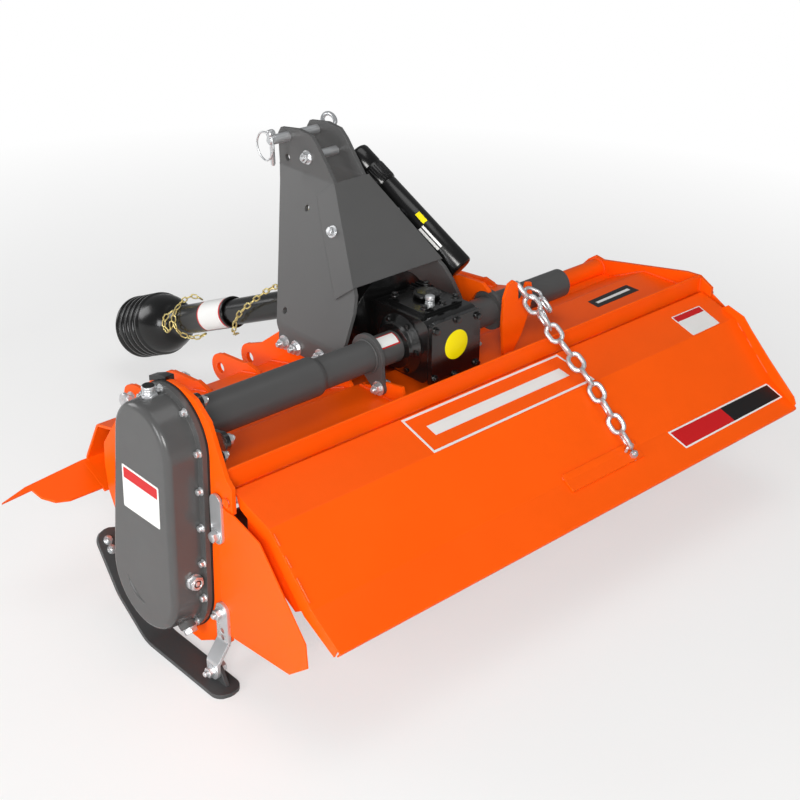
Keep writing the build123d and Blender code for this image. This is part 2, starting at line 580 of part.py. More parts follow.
def main():
    os.makedirs("parts", exist_ok=True)
    boxes = [shape.bounding_box() for shape in parts.values()]
    middle_x = (min(box.min.X for box in boxes) + max(box.max.X for box in boxes)) / 2
    middle_y = (min(box.min.Y for box in boxes) + max(box.max.Y for box in boxes)) / 2
    shift = Pos(-middle_x, -middle_y, 0)
    print("origin of the machine's frame at x %.3f, y %.3f" % (middle_x, middle_y))
    for name, shape in parts.items():
        export_step(shift * shape, "parts/%s.step" % name)


main()
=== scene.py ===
"""Looks of the rotary tiller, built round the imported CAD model.

Lengths in this script are millimetres in the machine's own frame: X to the machine's right, Y forwards,
Z up, x = 0 halfway between the side plates, y = 0 at the deck's rear edge and z = 0 on the floor. TO_ROW
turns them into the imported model's metres.
"""
import json
import math

import bmesh
import bpy
from mathutils import Matrix, Vector, noise


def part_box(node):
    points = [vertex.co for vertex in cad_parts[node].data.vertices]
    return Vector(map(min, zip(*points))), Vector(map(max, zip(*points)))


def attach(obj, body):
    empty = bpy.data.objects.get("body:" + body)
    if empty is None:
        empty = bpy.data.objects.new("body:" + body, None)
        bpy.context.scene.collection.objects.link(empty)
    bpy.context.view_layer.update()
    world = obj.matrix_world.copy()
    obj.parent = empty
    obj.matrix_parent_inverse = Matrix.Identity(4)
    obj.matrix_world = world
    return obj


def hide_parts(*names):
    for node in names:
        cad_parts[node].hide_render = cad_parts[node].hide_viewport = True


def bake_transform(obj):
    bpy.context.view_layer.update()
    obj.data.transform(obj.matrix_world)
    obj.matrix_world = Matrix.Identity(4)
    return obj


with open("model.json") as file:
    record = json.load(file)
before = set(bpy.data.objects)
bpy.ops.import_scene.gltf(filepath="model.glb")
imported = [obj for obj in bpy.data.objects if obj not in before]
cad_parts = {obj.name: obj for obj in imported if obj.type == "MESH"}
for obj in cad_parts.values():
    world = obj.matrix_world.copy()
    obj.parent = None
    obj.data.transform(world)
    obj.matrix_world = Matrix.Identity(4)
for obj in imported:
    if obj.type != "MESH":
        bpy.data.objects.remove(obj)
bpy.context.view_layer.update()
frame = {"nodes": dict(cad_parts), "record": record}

HINGE_Y, HINGE_Z = -16.0, 362.0
rod_low, rod_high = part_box("hinge_rod")
ORIGIN = (rod_low + rod_high) / 2 - Vector((0, HINGE_Y / 1000, HINGE_Z / 1000))
TO_ROW = Matrix.Translation(ORIGIN) @ Matrix.Scale(0.001, 4)
X, Y, Z = Vector((1, 0, 0)), Vector((0, 1, 0)), Vector((0, 0, 1))


# ---------------------------------------------------------------- materials
def linear(hex_colour):
    """Linear RGBA of an sRGB colour."""
    out = []
    for place in (0, 2, 4):
        value = int(hex_colour[place:place + 2], 16) / 255
        out.append(value / 12.92 if value <= 0.04045 else ((value + 0.055) / 1.055) ** 2.4)
    return tuple(out) + (1.0,)


def shade(colour, factor):
    return tuple(min(1.0, c * factor) for c in colour[:3]) + (1.0,)


def material(name, colour, rough, metallic=0.0, spread=0.05, patch=6.0, grain=500.0, bump=0.05,
             bump_mm=0.05, coat=0.0, specular=0.5, specks=None, edge=0.0):
    """Procedural surface of an sRGB colour such as "FF8800".

    colour varies by +-spread in patches (patch per metre) and roughness varies with it. grain (per metre)
    is the fine texture raised by bump, specks is a second colour and its share in small flecks, and edge
    is how much of a lighter tone, a painted highlight, shows along the edges.
    """
    base = linear(colour)
    mat = bpy.data.materials.new(name)
    mat.use_nodes = True
    nodes, links = mat.node_tree.nodes, mat.node_tree.links
    shader = nodes["Principled BSDF"]
    place = nodes.new("ShaderNodeTexCoord")

    broad = nodes.new("ShaderNodeTexNoise")
    broad.inputs["Scale"].default_value = patch
    broad.inputs["Detail"].default_value = 5.0
    broad.inputs["Roughness"].default_value = 0.6
    links.new(place.outputs["Object"], broad.inputs["Vector"])

    ramp = nodes.new("ShaderNodeValToRGB")
    ramp.color_ramp.elements[0].position = 0.3
    ramp.color_ramp.elements[1].position = 0.7
    ramp.color_ramp.elements[0].color = shade(base, 1 - spread)
    ramp.color_ramp.elements[1].color = shade(base, 1 + spread)
    links.new(broad.outputs["Fac"], ramp.inputs["Fac"])
    tone = ramp.outputs["Color"]

    fine = nodes.new("ShaderNodeTexNoise")
    fine.inputs["Scale"].default_value = grain
    fine.inputs["Detail"].default_value = 3.0
    links.new(place.outputs["Object"], fine.inputs["Vector"])

    if specks:
        fleck_colour, amount = specks
        cut = nodes.new("ShaderNodeValToRGB")
        cut.color_ramp.elements[0].position = 1 - amount
        cut.color_ramp.elements[1].position = min(1.0, 1.08 - amount)
        links.new(fine.outputs["Fac"], cut.inputs["Fac"])
        mix = nodes.new("ShaderNodeMix")
        mix.data_type = "RGBA"
        mix.inputs["B"].default_value = linear(fleck_colour)
        links.new(cut.outputs["Color"], mix.inputs["Factor"])
        links.new(tone, mix.inputs["A"])
        tone = mix.outputs["Result"]

    soft_edge = nodes.new("ShaderNodeBevel")
    soft_edge.samples = 4
    soft_edge.inputs["Radius"].default_value = 0.0014
    # Painted highlight: the base colour turns lighter where the bevelled normal leaves the true one, along
    # edges.
    if edge:
        true_normal = nodes.new("ShaderNodeNewGeometry")
        turn_away = nodes.new("ShaderNodeVectorMath")
        turn_away.operation = "DOT_PRODUCT"
        links.new(soft_edge.outputs["Normal"], turn_away.inputs[0])
        links.new(true_normal.outputs["Normal"], turn_away.inputs[1])
        rim = nodes.new("ShaderNodeMapRange")
        rim.inputs["From Min"].default_value = 0.99
        rim.inputs["From Max"].default_value = 0.75
        rim.inputs["To Max"].default_value = edge
        links.new(turn_away.outputs["Value"], rim.inputs["Value"])
        painted_edge_highlight = nodes.new("ShaderNodeMix")
        painted_edge_highlight.data_type = "RGBA"
        painted_edge_highlight.inputs["B"].default_value = shade(base, 1.9)
        links.new(rim.outputs["Result"], painted_edge_highlight.inputs["Factor"])
        links.new(tone, painted_edge_highlight.inputs["A"])
        tone = painted_edge_highlight.outputs["Result"]
    links.new(tone, shader.inputs["Base Color"])

    gloss = nodes.new("ShaderNodeMapRange")
    gloss.inputs["From Min"].default_value = 0.3
    gloss.inputs["From Max"].default_value = 0.7
    gloss.inputs["To Min"].default_value = rough * 0.85
    gloss.inputs["To Max"].default_value = min(1.0, rough * 1.15)
    links.new(broad.outputs["Fac"], gloss.inputs["Value"])
    links.new(gloss.outputs["Result"], shader.inputs["Roughness"])

    relief = nodes.new("ShaderNodeBump")
    relief.inputs["Strength"].default_value = bump
    relief.inputs["Distance"].default_value = bump_mm / 1000
    links.new(fine.outputs["Fac"], relief.inputs["Height"])
    links.new(soft_edge.outputs["Normal"], relief.inputs["Normal"])
    links.new(relief.outputs["Normal"], shader.inputs["Normal"])

    shader.inputs["Metallic"].default_value = metallic
    shader.inputs["Specular IOR Level"].default_value = specular
    shader.inputs["Coat Weight"].default_value = coat
    shader.inputs["Coat Roughness"].default_value = 0.12
    return mat


# edge in these entries sets a painted highlight, a lighter base colour along each piece's edges.
SURFACES = {
    "orange_paint": dict(colour="FA5A06", rough=0.36, spread=0.03, grain=240, bump=0.3, specular=0.15,
                         edge=0.35),
    "grey_paint": dict(colour="525252", rough=0.40, spread=0.04, grain=420, bump=0.35, specular=0.35,
                       edge=0.5),
    "case_paint": dict(colour="4E4E4E", rough=0.24, spread=0.05, patch=9, grain=160, bump=0.45,
                       bump_mm=0.14, coat=0.15, specular=0.28, edge=0.25),
    "tube_paint": dict(colour="4C4C4C", rough=0.42, spread=0.05, grain=420, bump=0.4, specular=0.35,
                       edge=0.3),
    "dark_paint": dict(colour="404142", rough=0.42, spread=0.08, grain=300, bump=0.4, edge=0.4),
    "black_iron": dict(colour="0B0B0B", rough=0.22, spread=0.25, patch=14, grain=320, bump=0.9,
                       bump_mm=0.4, coat=0.5, edge=0.3),
    "black_plastic": dict(colour="0C0C0C", rough=0.22, spread=0.12, grain=700, bump=0.1, specular=0.5),
    "gasket": dict(colour="101010", rough=0.7, spread=0.2, grain=800, bump=0.6),
    "zinc": dict(colour="CBCDCF", rough=0.30, metallic=0.7, spread=0.03, patch=14, grain=900, bump=0.05),
    "steel": dict(colour="7E7D7B", rough=0.36, metallic=1.0, spread=0.12, patch=30, grain=900, bump=0.4,
                  specks=("5A524A", 0.36)),
    "gold_zinc": dict(colour="E0CE8A", rough=0.32, metallic=0.85, spread=0.12, patch=60, grain=900,
                      bump=0.15),
    "weld": dict(colour="F65406", rough=0.36, spread=0.08, patch=80, grain=900, bump=0.6, bump_mm=0.2,
                 specular=0.4),
    "white_film": dict(colour="E8E8E6", rough=0.4, spread=0.02, grain=900, bump=0.1),
    "red_film": dict(colour="C4161A", rough=0.36, spread=0.04, grain=900, bump=0.1, specular=0.3),
    "black_film": dict(colour="0E0E0E", rough=0.34, spread=0.1, grain=900, bump=0.1),
    "yellow_film": dict(colour="F0E000", rough=0.4, spread=0.03, grain=900, bump=0.1, specular=0.25),
}
MATERIALS = {name: material(name, **values) for name, values in SURFACES.items()}

for row in frame["record"]["subparts"]:
    node = frame["nodes"][row["node"]]
    node.data.materials.clear()
    node.data.materials.append(MATERIALS[row["material_slot"]])


# ---------------------------------------------------------------- mesh tools, all in machine millimetres
def across(direction):
    """Two unit vectors square to a direction and to each other."""
    direction = Vector(direction).normalized()
    helper = Z if abs(direction.z) < 0.9 else X
    first = helper.cross(direction).normalized()
    return first, direction.cross(first)


def skin(bm, rings, index=0, closed=False):
    """Quads between successive rings of vertices; a ring of one vertex closes to a point."""
    pairs = list(zip(rings, rings[1:]))
    if closed:
        pairs.append((rings[-1], rings[0]))
    for low, high in pairs:
        count = max(len(low), len(high))
        for i in range(count):
            j = (i + 1) % count
            corners = [low[i % len(low)], low[j % len(low)], high[j % len(high)], high[i % len(high)]]
            corners = list(dict.fromkeys(corners))
            face = bm.faces.new(corners)
            face.material_index = index
            face.smooth = True


def lathe(bm, origin, axis, profile, sides=32, index=0):
    """Solid of revolution from (distance along, radius) points; ends of any radius are capped."""
    origin, axis = Vector(origin), Vector(axis).normalized()
    u, v = across(axis)
    rings = []
    for distance, radius in profile:
        middle = origin + axis * distance
        if radius == 0:
            rings.append([bm.verts.new(middle)])
            continue
        angles = [2 * math.pi * i / sides for i in range(sides)]
        rings.append([bm.verts.new(middle + (u * math.cos(a) + v * math.sin(a)) * radius) for a in angles])
    skin(bm, rings, index)
    for ring, backwards in ((rings[0], True), (rings[-1], False)):
        if len(ring) > 1:
            face = bm.faces.new(ring[::-1] if backwards else ring)
            face.material_index = index


def hexagon(bm, origin, axis, flats, height, turn=0.0, index=0):
    """Hexagon head or nut with its top corners chamfered."""
    origin, axis = Vector(origin), Vector(axis).normalized()
    u, v = across(axis)
    sides, apothem = 24, flats / 2
    base, shoulder, crown = [], [], []
    for i in range(sides):
        angle = 2 * math.pi * i / sides
        reach = apothem / math.cos((angle + math.pi / 6) % (math.pi / 3) - math.pi / 6)
        spoke = u * math.cos(angle + turn) + v * math.sin(angle + turn)
        drop = (reach - apothem * 0.94) * 0.5
        base.append(bm.verts.new(origin + spoke * reach))
        shoulder.append(bm.verts.new(origin + spoke * reach + axis * (height - drop)))
        crown.append(bm.verts.new(origin + spoke * apothem * 0.94 + axis * height))
    skin(bm, [base, shoulder, crown], index)
    for ring in (base[::-1], crown):
        bm.faces.new(ring).material_index = index


WASHER_THICK, THREAD_STEP = 1.8, 0.75


def bolt(bm, place, axis, flats, height, washer=0.0, stud=0.0, index=0):
    """Head or nut on a washer of the given radius; stud is how far the thread stands out of the nut."""
    place, axis = Vector(place), Vector(axis).normalized()
    thick = WASHER_THICK if washer else 0.0
    if washer:
        rim = ((-0.5, washer), (thick - 0.4, washer), (thick, washer - 0.4))
        lathe(bm, place, axis, rim, 28, index)
    turn = (place.x * 0.37 + place.y * 0.61 + place.z * 0.23) % 1.0
    hexagon(bm, place + axis * thick, axis, flats, height, turn, index)
    if stud:
        radius = flats * 0.31
        profile = [(height - 1, radius)]
        steps = max(2, int(stud / THREAD_STEP))
        for i in range(steps):
            along = height + stud * i / steps
            profile.append((along, radius if i % 2 else radius * 0.9))
        profile += [(height + stud, radius * 0.9), (height + stud + 0.8, radius * 0.75)]
        lathe(bm, place + axis * thick, axis, profile, 18, index)
    else:
        crown = ((-0.4, flats * 0.40), (0.25, flats * 0.38))
        lathe(bm, place + axis * (thick + height), axis, crown, 20, index)


def sweep(bm, points, radii, sides=8, closed=False, index=0):
    """Round tube along points; radii is one number or one for each point."""
    points = [Vector(p) for p in points]
    count = len(points)
    if not isinstance(radii, (list, tuple)):
        radii = [radii] * count
    rings, last = [], None
    for i, point in enumerate(points):
        before = points[i - 1] if closed or i else point
        after = points[(i + 1) % count] if closed or i < count - 1 else point
        tangent = (after - before).normalized()
        if last is None:
            first = across(tangent)[0]
        else:
            first = (last - tangent * last.dot(tangent)).normalized()
        last = first
        second = tangent.cross(first)
        ring = []
        for k in range(sides):
            angle = 2 * math.pi * k / sides
            spoke = first * math.cos(angle) + second * math.sin(angle)
            ring.append(bm.verts.new(point + spoke * radii[i]))
        rings.append(ring)
    if closed:
        shift = closest_turn(rings[-1], rings[0])
        rings.append(rings[0][shift:] + rings[0][:shift])
        skin(bm, rings, index)
        return
    skin(bm, rings, index)
    for ring in (rings[0][::-1], rings[-1]):
        bm.faces.new(ring).material_index = index


def closest_turn(ring, target):
    """How far to turn target's numbering so that it meets ring squarely."""
    return min(range(len(target)), key=lambda s: (target[s].co - ring[0].co).length)


def resample(points, step, closed=False):
    """Points at an even step along a polyline."""
    points = [Vector(p) for p in points]
    if closed:
        points.append(points[0])
    lengths = [(b - a).length for a, b in zip(points, points[1:])]
    total = sum(lengths)
    count = max(2, round(total / step))
    out, leg, passed = [], 0, 0.0
    for i in range(count if closed else count + 1):
        target = total * i / count
        while leg < len(lengths) - 1 and passed + lengths[leg] < target:
            passed += lengths[leg]
            leg += 1
        share = (target - passed) / lengths[leg] if lengths[leg] else 0.0
        out.append(points[leg].lerp(points[leg + 1], min(1.0, share)))
    return out


def curved(points, steps=8):
    """Smooth curve through points."""
    points = [Vector(p) for p in points]
    padded = [points[0] * 2 - points[1]] + points + [points[-1] * 2 - points[-2]]
    out = []
    for a, b, c, d in zip(padded, padded[1:], padded[2:], padded[3:]):
        for i in range(steps):
            t = i / steps
            out.append(0.5 * (2 * b + (c - a) * t + (2 * a - 5 * b + 4 * c - d) * t * t
                              + (3 * b - a - 3 * c + d) * t * t * t))
    return out + [points[-1]]


def bead(bm, points, radius, closed=False):
    """Weld bead with the ripples of a hand weld."""
    route = resample(points, 1.3, closed)
    radii = []
    for i, point in enumerate(route):
        wobble = noise.noise(point * 0.09) * 0.14
        radii.append(radius * (0.92 + wobble + 0.10 * math.sin(i * 1.9)))
    if not closed:
        radii[0] *= 0.5
        radii[-1] *= 0.5
    sweep(bm, route, radii, 7, closed)


def ring_points(centre, axis, radius, count=40, start=0.0, end=360.0):
    """Points round a circle or an arc of it."""
    u, v = across(axis)
    closed = end - start >= 360
    steps = count if closed else count + 1
    angles = [math.radians(start + (end - start) * i / count) for i in range(steps)]
    return [Vector(centre) + (u * math.cos(a) + v * math.sin(a)) * radius for a in angles]


def chain_link(bm, start, end, flat, half_width, wire):
    """Oval link between two pitch points; flat is the direction that its width lies along."""
    along = (end - start).normalized()
    flat = (flat - along * flat.dot(along)).normalized()
    middle, half = (start + end) / 2, (end - start).length / 2 + wire
    bend = half_width - wire
    straight = max(0.0, half - wire - bend)
    points = []
    for side in (1, -1):
        for i in range(9):
            angle = math.pi * i / 8
            points.append(middle + along * side * (straight + bend * math.sin(angle))
                          + flat * side * bend * math.cos(angle))
    sweep(bm, points, wire, 10, closed=True)


def chain(bm, route, pitch, half_width, wire, turn=0.0):
    """Links along a route, each turned about a quarter from the last."""
    points = resample(route, pitch)
    for number, (start, end) in enumerate(zip(points, points[1:])):
        u, v = across(end - start)
        angle = turn + (math.pi / 2 if number % 2 else 0.0) + 0.12 * math.sin(number * 2.3)
        chain_link(bm, start, end, u * math.cos(angle) + v * math.sin(angle), half_width, wire)


def patch(bm, corners, window, lift, index, corner=0.0):
    """Film on a flat four-cornered place.

    window is (u0, v0, u1, v1) in it, lift its thickness and corner the radius of its corners.
    """
    a, b, c, d = (Vector(p) for p in corners)
    normal = (b - a).cross(d - a).normalized()
    width, height = (b - a).length, (d - a).length
    u0, v0, u1, v1 = window
    outline = []
    places = (((u1, v1), 0), ((u0, v1), 90), ((u0, v0), 180), ((u1, v0), 270))
    for (u, v), start in places:
        inward_u = corner / width * (1 if u == u0 else -1)
        inward_v = corner / height * (1 if v == v0 else -1)
        for i in range(5 if corner else 1):
            angle = math.radians(start + 22.5 * i)
            pu = u + inward_u + math.cos(angle) * corner / width if corner else u
            pv = v + inward_v + math.sin(angle) * corner / height if corner else v
            outline.append((pu, pv))
    top, foot = [], []
    for u, v in outline:
        point = a.lerp(b, u).lerp(d.lerp(c, u), v)
        top.append(bm.verts.new(point + normal * lift))
        foot.append(bm.verts.new(point))
    skin(bm, [foot, top], index)
    bm.faces.new(top).material_index = index


def wrap(bm, origin, axis, radius, span, arc, lift, index):
    """Film wrapped on a round tube between span (distances along it) and arc (degrees round it)."""
    axis = Vector(axis).normalized()
    u, v = across(axis)
    steps = max(2, int(abs(arc[1] - arc[0]) / 6))
    grid = []
    for distance in (span[0], (span[0] + span[1]) / 2, span[1]):
        row = []
        for i in range(steps + 1):
            angle = math.radians(arc[0] + (arc[1] - arc[0]) * i / steps)
            spoke = u * math.cos(angle) + v * math.sin(angle)
            row.append(bm.verts.new(Vector(origin) + axis * distance + spoke * (radius + lift)))
        grid.append(row)
    for low, high in zip(grid, grid[1:]):
        for i in range(steps):
            face = bm.faces.new((low[i], low[i + 1], high[i + 1], high[i]))
            face.material_index = index
            face.smooth = True
    edge = grid[0] + [row[-1] for row in grid[1:-1]] + grid[-1][::-1] + [row[0] for row in grid[1:-1]]
    base = []
    for vert in edge:
        offset = vert.co - Vector(origin)
        spoke = (offset - axis * offset.dot(axis)).normalized()
        base.append(bm.verts.new(vert.co - spoke * (lift + 0.2)))
    skin(bm, [base, edge], index)


def prism(bm, outline, x_low, x_high, index=0):
    """Plate with a (y, z) outline between two values of x."""
    rings = [[bm.verts.new((x, y, z)) for y, z in outline] for x in (x_low, x_high)]
    for i in range(len(outline)):
        j = (i + 1) % len(outline)
        bm.faces.new((rings[0][i], rings[0][j], rings[1][j], rings[1][i])).material_index = index
    bm.faces.new(rings[0][::-1]).material_index = index
    bm.faces.new(rings[1]).material_index = index


def rounded(path, radius, steps=5):
    """(y, z) points of a path with its corners rounded; only its two ends stay as they are."""
    points = [Vector((0, *p)) for p in path]
    out = [points[0]]
    for before, corner, after in zip(points, points[1:], points[2:]):
        inward, outward = (before - corner).normalized(), (after - corner).normalized()
        half = inward.angle(outward) / 2
        cut = radius / math.tan(half)
        start, end = corner + inward * cut, corner + outward * cut
        for i in range(steps + 1):
            t = i / steps
            out.append(start * (1 - t) ** 2 + corner * 2 * t * (1 - t) + end * t * t)
    return out + [points[-1]]


def sheet_normals(points):
    """Unit vector square to a path in the YZ plane at each of its points."""
    out = []
    for i in range(len(points)):
        heading = (points[min(i + 1, len(points) - 1)] - points[max(i - 1, 0)]).normalized()
        out.append(X.cross(heading))
    return out


def finish(name, bm, body, materials, crease=35, bevel=0.0):
    """Turns a finished bmesh into a piece that rides on a body."""
    bmesh.ops.recalc_face_normals(bm, faces=bm.faces)
    for face in bm.faces:
        face.smooth = True
    bm.transform(TO_ROW)
    mesh = bpy.data.meshes.new(name)
    bm.to_mesh(mesh)
    bm.free()
    mesh.set_sharp_from_angle(angle=math.radians(crease))
    for material_name in materials:
        mesh.materials.append(MATERIALS[material_name])
    obj = bpy.data.objects.new(name, mesh)
    bpy.context.collection.objects.link(obj)
    if bevel:
        rounding = obj.modifiers.new("bevel", "BEVEL")
        rounding.width = bevel / 1000
        rounding.segments = 2
        rounding.limit_method = "ANGLE"
        rounding.angle_limit = math.radians(40)
    if body:
        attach(obj, body)
    return obj


# ---------------------------------------------------------------- places taken from the CAD model
OUTER, INNER = 633.0, 624.0             # side plates' outer faces, ends of what lies between them
CASE_EDGE, CASE_FACE = -646.0, -703.0   # gear case's flange and outer face
DECK_TOP = 370.0
TUBE_Y, TUBE_Z = 282.0, 338.0           # front tube
DRIVE_Y, DRIVE_Z, DRIVE_R = 120.0, 441.0, 30.0      # drive tube, in line with the gearbox
BOX_REAR, BOX_TOP = 35.0, 518.0         # gearbox's rear cover and top
ROTOR_Y, ROTOR_Z = 148.0, 176.0
PIN_Y, PIN_Z = 466.0, 315.0             # lower hitch pins
TOP_PIN_Z = 750.0
GUARD_R = 34.2                          # outer guard's tube
MAST_X = -71.0                          # middle of mast, gearbox and drive shaft
KNEE_Z, HEAD_Z = 428.0, 690.0           # where a mast plate starts and stops leaning in
FOOT_HALF, HEAD_HALF = 159.0, 36.0      # from MAST_X to a mast plate's middle, below and above that
LEAN = (FOOT_HALF - HEAD_HALF) / (HEAD_Z - KNEE_Z)
HALF_PLATE = 4.0                        # half a mast plate's or lower lug's thickness
LUG_OUT, LUG_IN, LUG_MID = 428.5, 338.5, 223.0      # from MAST_X to the hitch lugs
JOINT_Y, DROOP = 364.0, math.radians(23.7)          # drive shaft's rear joint, and how steeply it hangs
SHAFT_AXIS = Vector((0, math.cos(DROOP), -math.sin(DROOP)))
SHAFT_UP = Vector((0, math.sin(DROOP), math.cos(DROOP)))
GATE_END, HALF_GATE = 617.0, 1.55       # tailgate's end faces, half its sheet's thickness
GATE_BENDS = ((-12, 375), (-104, 346.5), (-208, 244.5), (-277, 200.5))     # (y, z) from hinge to lip


def along_shaft(distance, up=0.0, right=0.0):
    """Point in front of the rear joint, measured along the hanging drive shaft and square to it."""
    return Vector((MAST_X + right, JOINT_Y, DRIVE_Z)) + SHAFT_AXIS * distance + SHAFT_UP * up


def mast_wall(z, side):
    """x of a mast plate's middle at a height; side is -1 for left and 1 for right."""
    return MAST_X + side * (FOOT_HALF - LEAN * (min(max(z, KNEE_Z), HEAD_Z) - KNEE_Z))


def gate_surface(x, y):
    """Point on the tailgate's upper face at that x and y."""
    for (front_y, front_z), (rear_y, rear_z) in zip(GATE_BENDS, GATE_BENDS[1:]):
        if y >= rear_y:
            break
    run, rise = front_y - rear_y, front_z - rear_z
    lift = HALF_GATE * math.hypot(run, rise) / run
    return Vector((x, y, rear_z + rise * (y - rear_y) / run + lift))


def capsule_points(low, low_r, high, high_r, count, shift):
    """Even places round two circles joined by their tangents; shift (mm) moves the first one along."""
    heading = math.atan2(high[1] - low[1], high[0] - low[0])
    spread = math.acos((low_r - high_r) / math.hypot(high[0] - low[0], high[1] - low[1]))
    outline = []
    begin = heading + spread - shift / high_r
    for middle, radius, first, last in ((high, high_r, begin, heading - spread),
                                        (low, low_r, heading - spread, heading + spread - 2 * math.pi),
                                        (high, high_r, heading + spread, begin + 0.01)):
        for i in range(41):
            angle = first + (last - first) * i / 40
            outline.append((0, middle[0] + radius * math.cos(angle), middle[1] + radius * math.sin(angle)))
    return resample(outline, outline_length(outline) / count, closed=True)


def outline_length(points):
    """Length all the way round a closed outline."""
    return sum((Vector(b) - Vector(a)).length for a, b in zip(points, points[1:] + points[:1]))


# ---------------------------------------------------------------- gear case
CASE_BOLT_ROW = ((148, 157), 103.5, (122.7, 428), 87.5)     # lower centre and radius, upper ones

bm = bmesh.new()
for place in capsule_points(*CASE_BOLT_ROW, count=16, shift=10.4):
    bolt(bm, (CASE_EDGE, place.y, place.z), -X, 10, 6.5, washer=7.5)
for y, z in ((20, 425), (2, 463), (70, 505), (170, 490)):
    bolt(bm, (-617, y, z), X, 16, 9, washer=13, stud=5)
finish("case_bolts", bm, "frame", ("zinc",))

bm = bmesh.new()
breather = Vector((-668, 137, 505))
ribs = ((0, 11), (3, 11), (3.6, 10.4), (4.6, 10.4), (5.2, 11.4), (8, 11.4), (8.6, 10.8), (9.4, 10.8),
        (10, 11.8), (13, 11.8), (13.8, 11))
lathe(bm, breather, Z, ((0, 13), (3, 13), (3.6, 12.4)), 32)
hexagon(bm, breather + Z * 3, Z, 26, 5, 0.2)
lathe(bm, breather + Z * 7.5, Z, ribs, 36)
lathe(bm, breather + Z * 21, Z, ((0, 10.4), (1.4, 9.8), (1.8, 0)), 32, 1)
drain_way = Vector((0, -0.66, -0.75)).normalized()
drain = Vector((-661, 148, 157)) + drain_way * 96
lathe(bm, drain, drain_way, ((-4, 17), (10, 15.5), (12, 14)), 32, 2)
hexagon(bm, drain + drain_way * 12, drain_way, 22, 10, 0.3)
lathe(bm, drain + drain_way * 11.8, drain_way, ((0, 13.6), (2, 13.6), (2.4, 13)), 28)
level_plug = Vector((-663, 50, 188))
dished = ((-0.2, 9.5), (1.4, 9.3), (1.8, 8.6), (1.2, 7.4), (0.2, 7.2), (0.2, 4.4), (1, 3.6), (1.1, 0))
lathe(bm, level_plug + Y * 20, -Y, ((-10, 20), (16, 17.5), (20, 16)), 36, 2)
lathe(bm, level_plug, -Y, ((-0.2, 14.5), (3, 14.5), (3.5, 14)), 32)
hexagon(bm, level_plug - Y * 3, -Y, 24, 9, 0.1)
lathe(bm, level_plug - Y * 11.8, -Y, dished, 32)
prism(bm, ((190, 503), (190, 513), (161, 525), (140, 529), (140, 519), (160, 515)), -OUTER, -616, 1)
steps = 24
arc = ring_points((CASE_FACE + 3.5, 148, 160), X, 50, steps, 5, -115)
sweep(bm, arc, [1.5 + 4.3 * math.sin(math.pi * i / steps) for i in range(steps + 1)], 20, index=2)
finish("case_plugs", bm, "frame", ("zinc", "black_film", "case_paint"), bevel=0.35)

bm = bmesh.new()
label = [(CASE_FACE, y, z) for y, z in ((186, 292), (78, 294), (74, 375), (182, 376))]
patch(bm, label, (0, 0, 1, 1), 0.35, 0, 3)
patch(bm, label, (0.04, 0.70, 0.96, 0.95), 0.5, 1, 2)
finish("case_label", bm, "frame", ("white_film", "red_film"))

# ---------------------------------------------------------------- gearbox
bm = bmesh.new()
for x, z in ((-124, 492), (-124, 396), (-18, 492), (-18, 396), (-71, 388), (-71, 500)):
    bolt(bm, (x, BOX_REAR, z), -Y, 11, 5, washer=8, index=1)
lathe(bm, (MAST_X, BOX_REAR + 0.2, 450), -Y, ((-0.4, 29), (0.3, 29), (0.45, 28.6), (0.45, 0)), 56)
vent = Vector((-92, 86, BOX_TOP))
lathe(bm, vent - Z, Z, ((0, 9), (4, 9)), 28, 2)
hexagon(bm, vent + Z * 2, Z, 15, 7, 0.4, 2)
lathe(bm, vent + Z * 9, Z, ((0, 5), (2, 5), (2, 8), (3, 9), (9, 9), (10.5, 7), (11, 0)), 28, 2)
for x, y in ((-111, 80), (-31, 80), (-31, 160), (-111, 160), (-71, 75)):
    bolt(bm, (x, y, BOX_TOP), Z, 11, 5, washer=8, index=1)
lid = ((0, 26), (4, 26), (5, 25), (5.6, 20), (7, 19), (7.4, 0))
lathe(bm, (-60, 128, BOX_TOP - 1), Z, lid, 48, 1)
for place in ring_points((-138, DRIVE_Y, DRIVE_Z), X, 50, 6):
    bolt(bm, place, -X, 11, 5, index=1)
finish("gearbox_fittings", bm, "frame", ("yellow_film", "black_iron", "zinc"))

# ---------------------------------------------------------------- mast
bm = bmesh.new()
for side in (-1, 1):
    out = X * side
    for y, z in ((339, 396), (303, 397), (231, 405)):
        bolt(bm, (MAST_X + side * (FOOT_HALF + HALF_PLATE), y, z), out, 18, 10, washer=15, stud=7)
        bolt(bm, (MAST_X + side * (FOOT_HALF - HALF_PLATE), y, z), -out, 18, 10)
    wall = mast_wall(615, side) + side * 7.5
    bolt(bm, (wall, 293, 615), (side, 0, LEAN), 15, 8, washer=12)
    bolt(bm, (MAST_X + side * (HEAD_HALF + HALF_PLATE), 412, 722), out, 18, 9, washer=14, stud=4)
finish("mast_bolts", bm, "frame", ("zinc",))

bm = bmesh.new()
handle = [(-22, 472, 750), (-12, 481, 751), (0, 500, 756), (11, 506, 762), (16, 498, 764.4),
          (12, 480, 762.6), (1, 462, 757.6), (-12, 459, 751), (-22, 466, 749)]
sweep(bm, curved(handle, 6), 4.4, 14)
lathe(bm, (-24, 470, TOP_PIN_Z), X, ((0, 12.5), (5, 12.5), (6, 11.5)), 32)
lathe(bm, (-144, 470, TOP_PIN_Z), -X, ((0, 9.5), (9, 9.5), (12, 8.6), (14, 6.5)), 36)
lynch_top, lynch_foot = Vector((-150, 472, 768)), Vector((-150, 468, 700))
lynch_shank = ((-2, 3), (-1, 4.6), (0, 5), (4, 5.4), (8, 4.6), (64, 4.6), (68, 2.6))
lathe(bm, lynch_top, lynch_foot - lynch_top, lynch_shank, 24)
lathe(bm, lynch_top + Vector((6, 0, -5.5)), -X, ((0, 6), (2, 7.6), (12, 7.6), (14, 6)), 28)
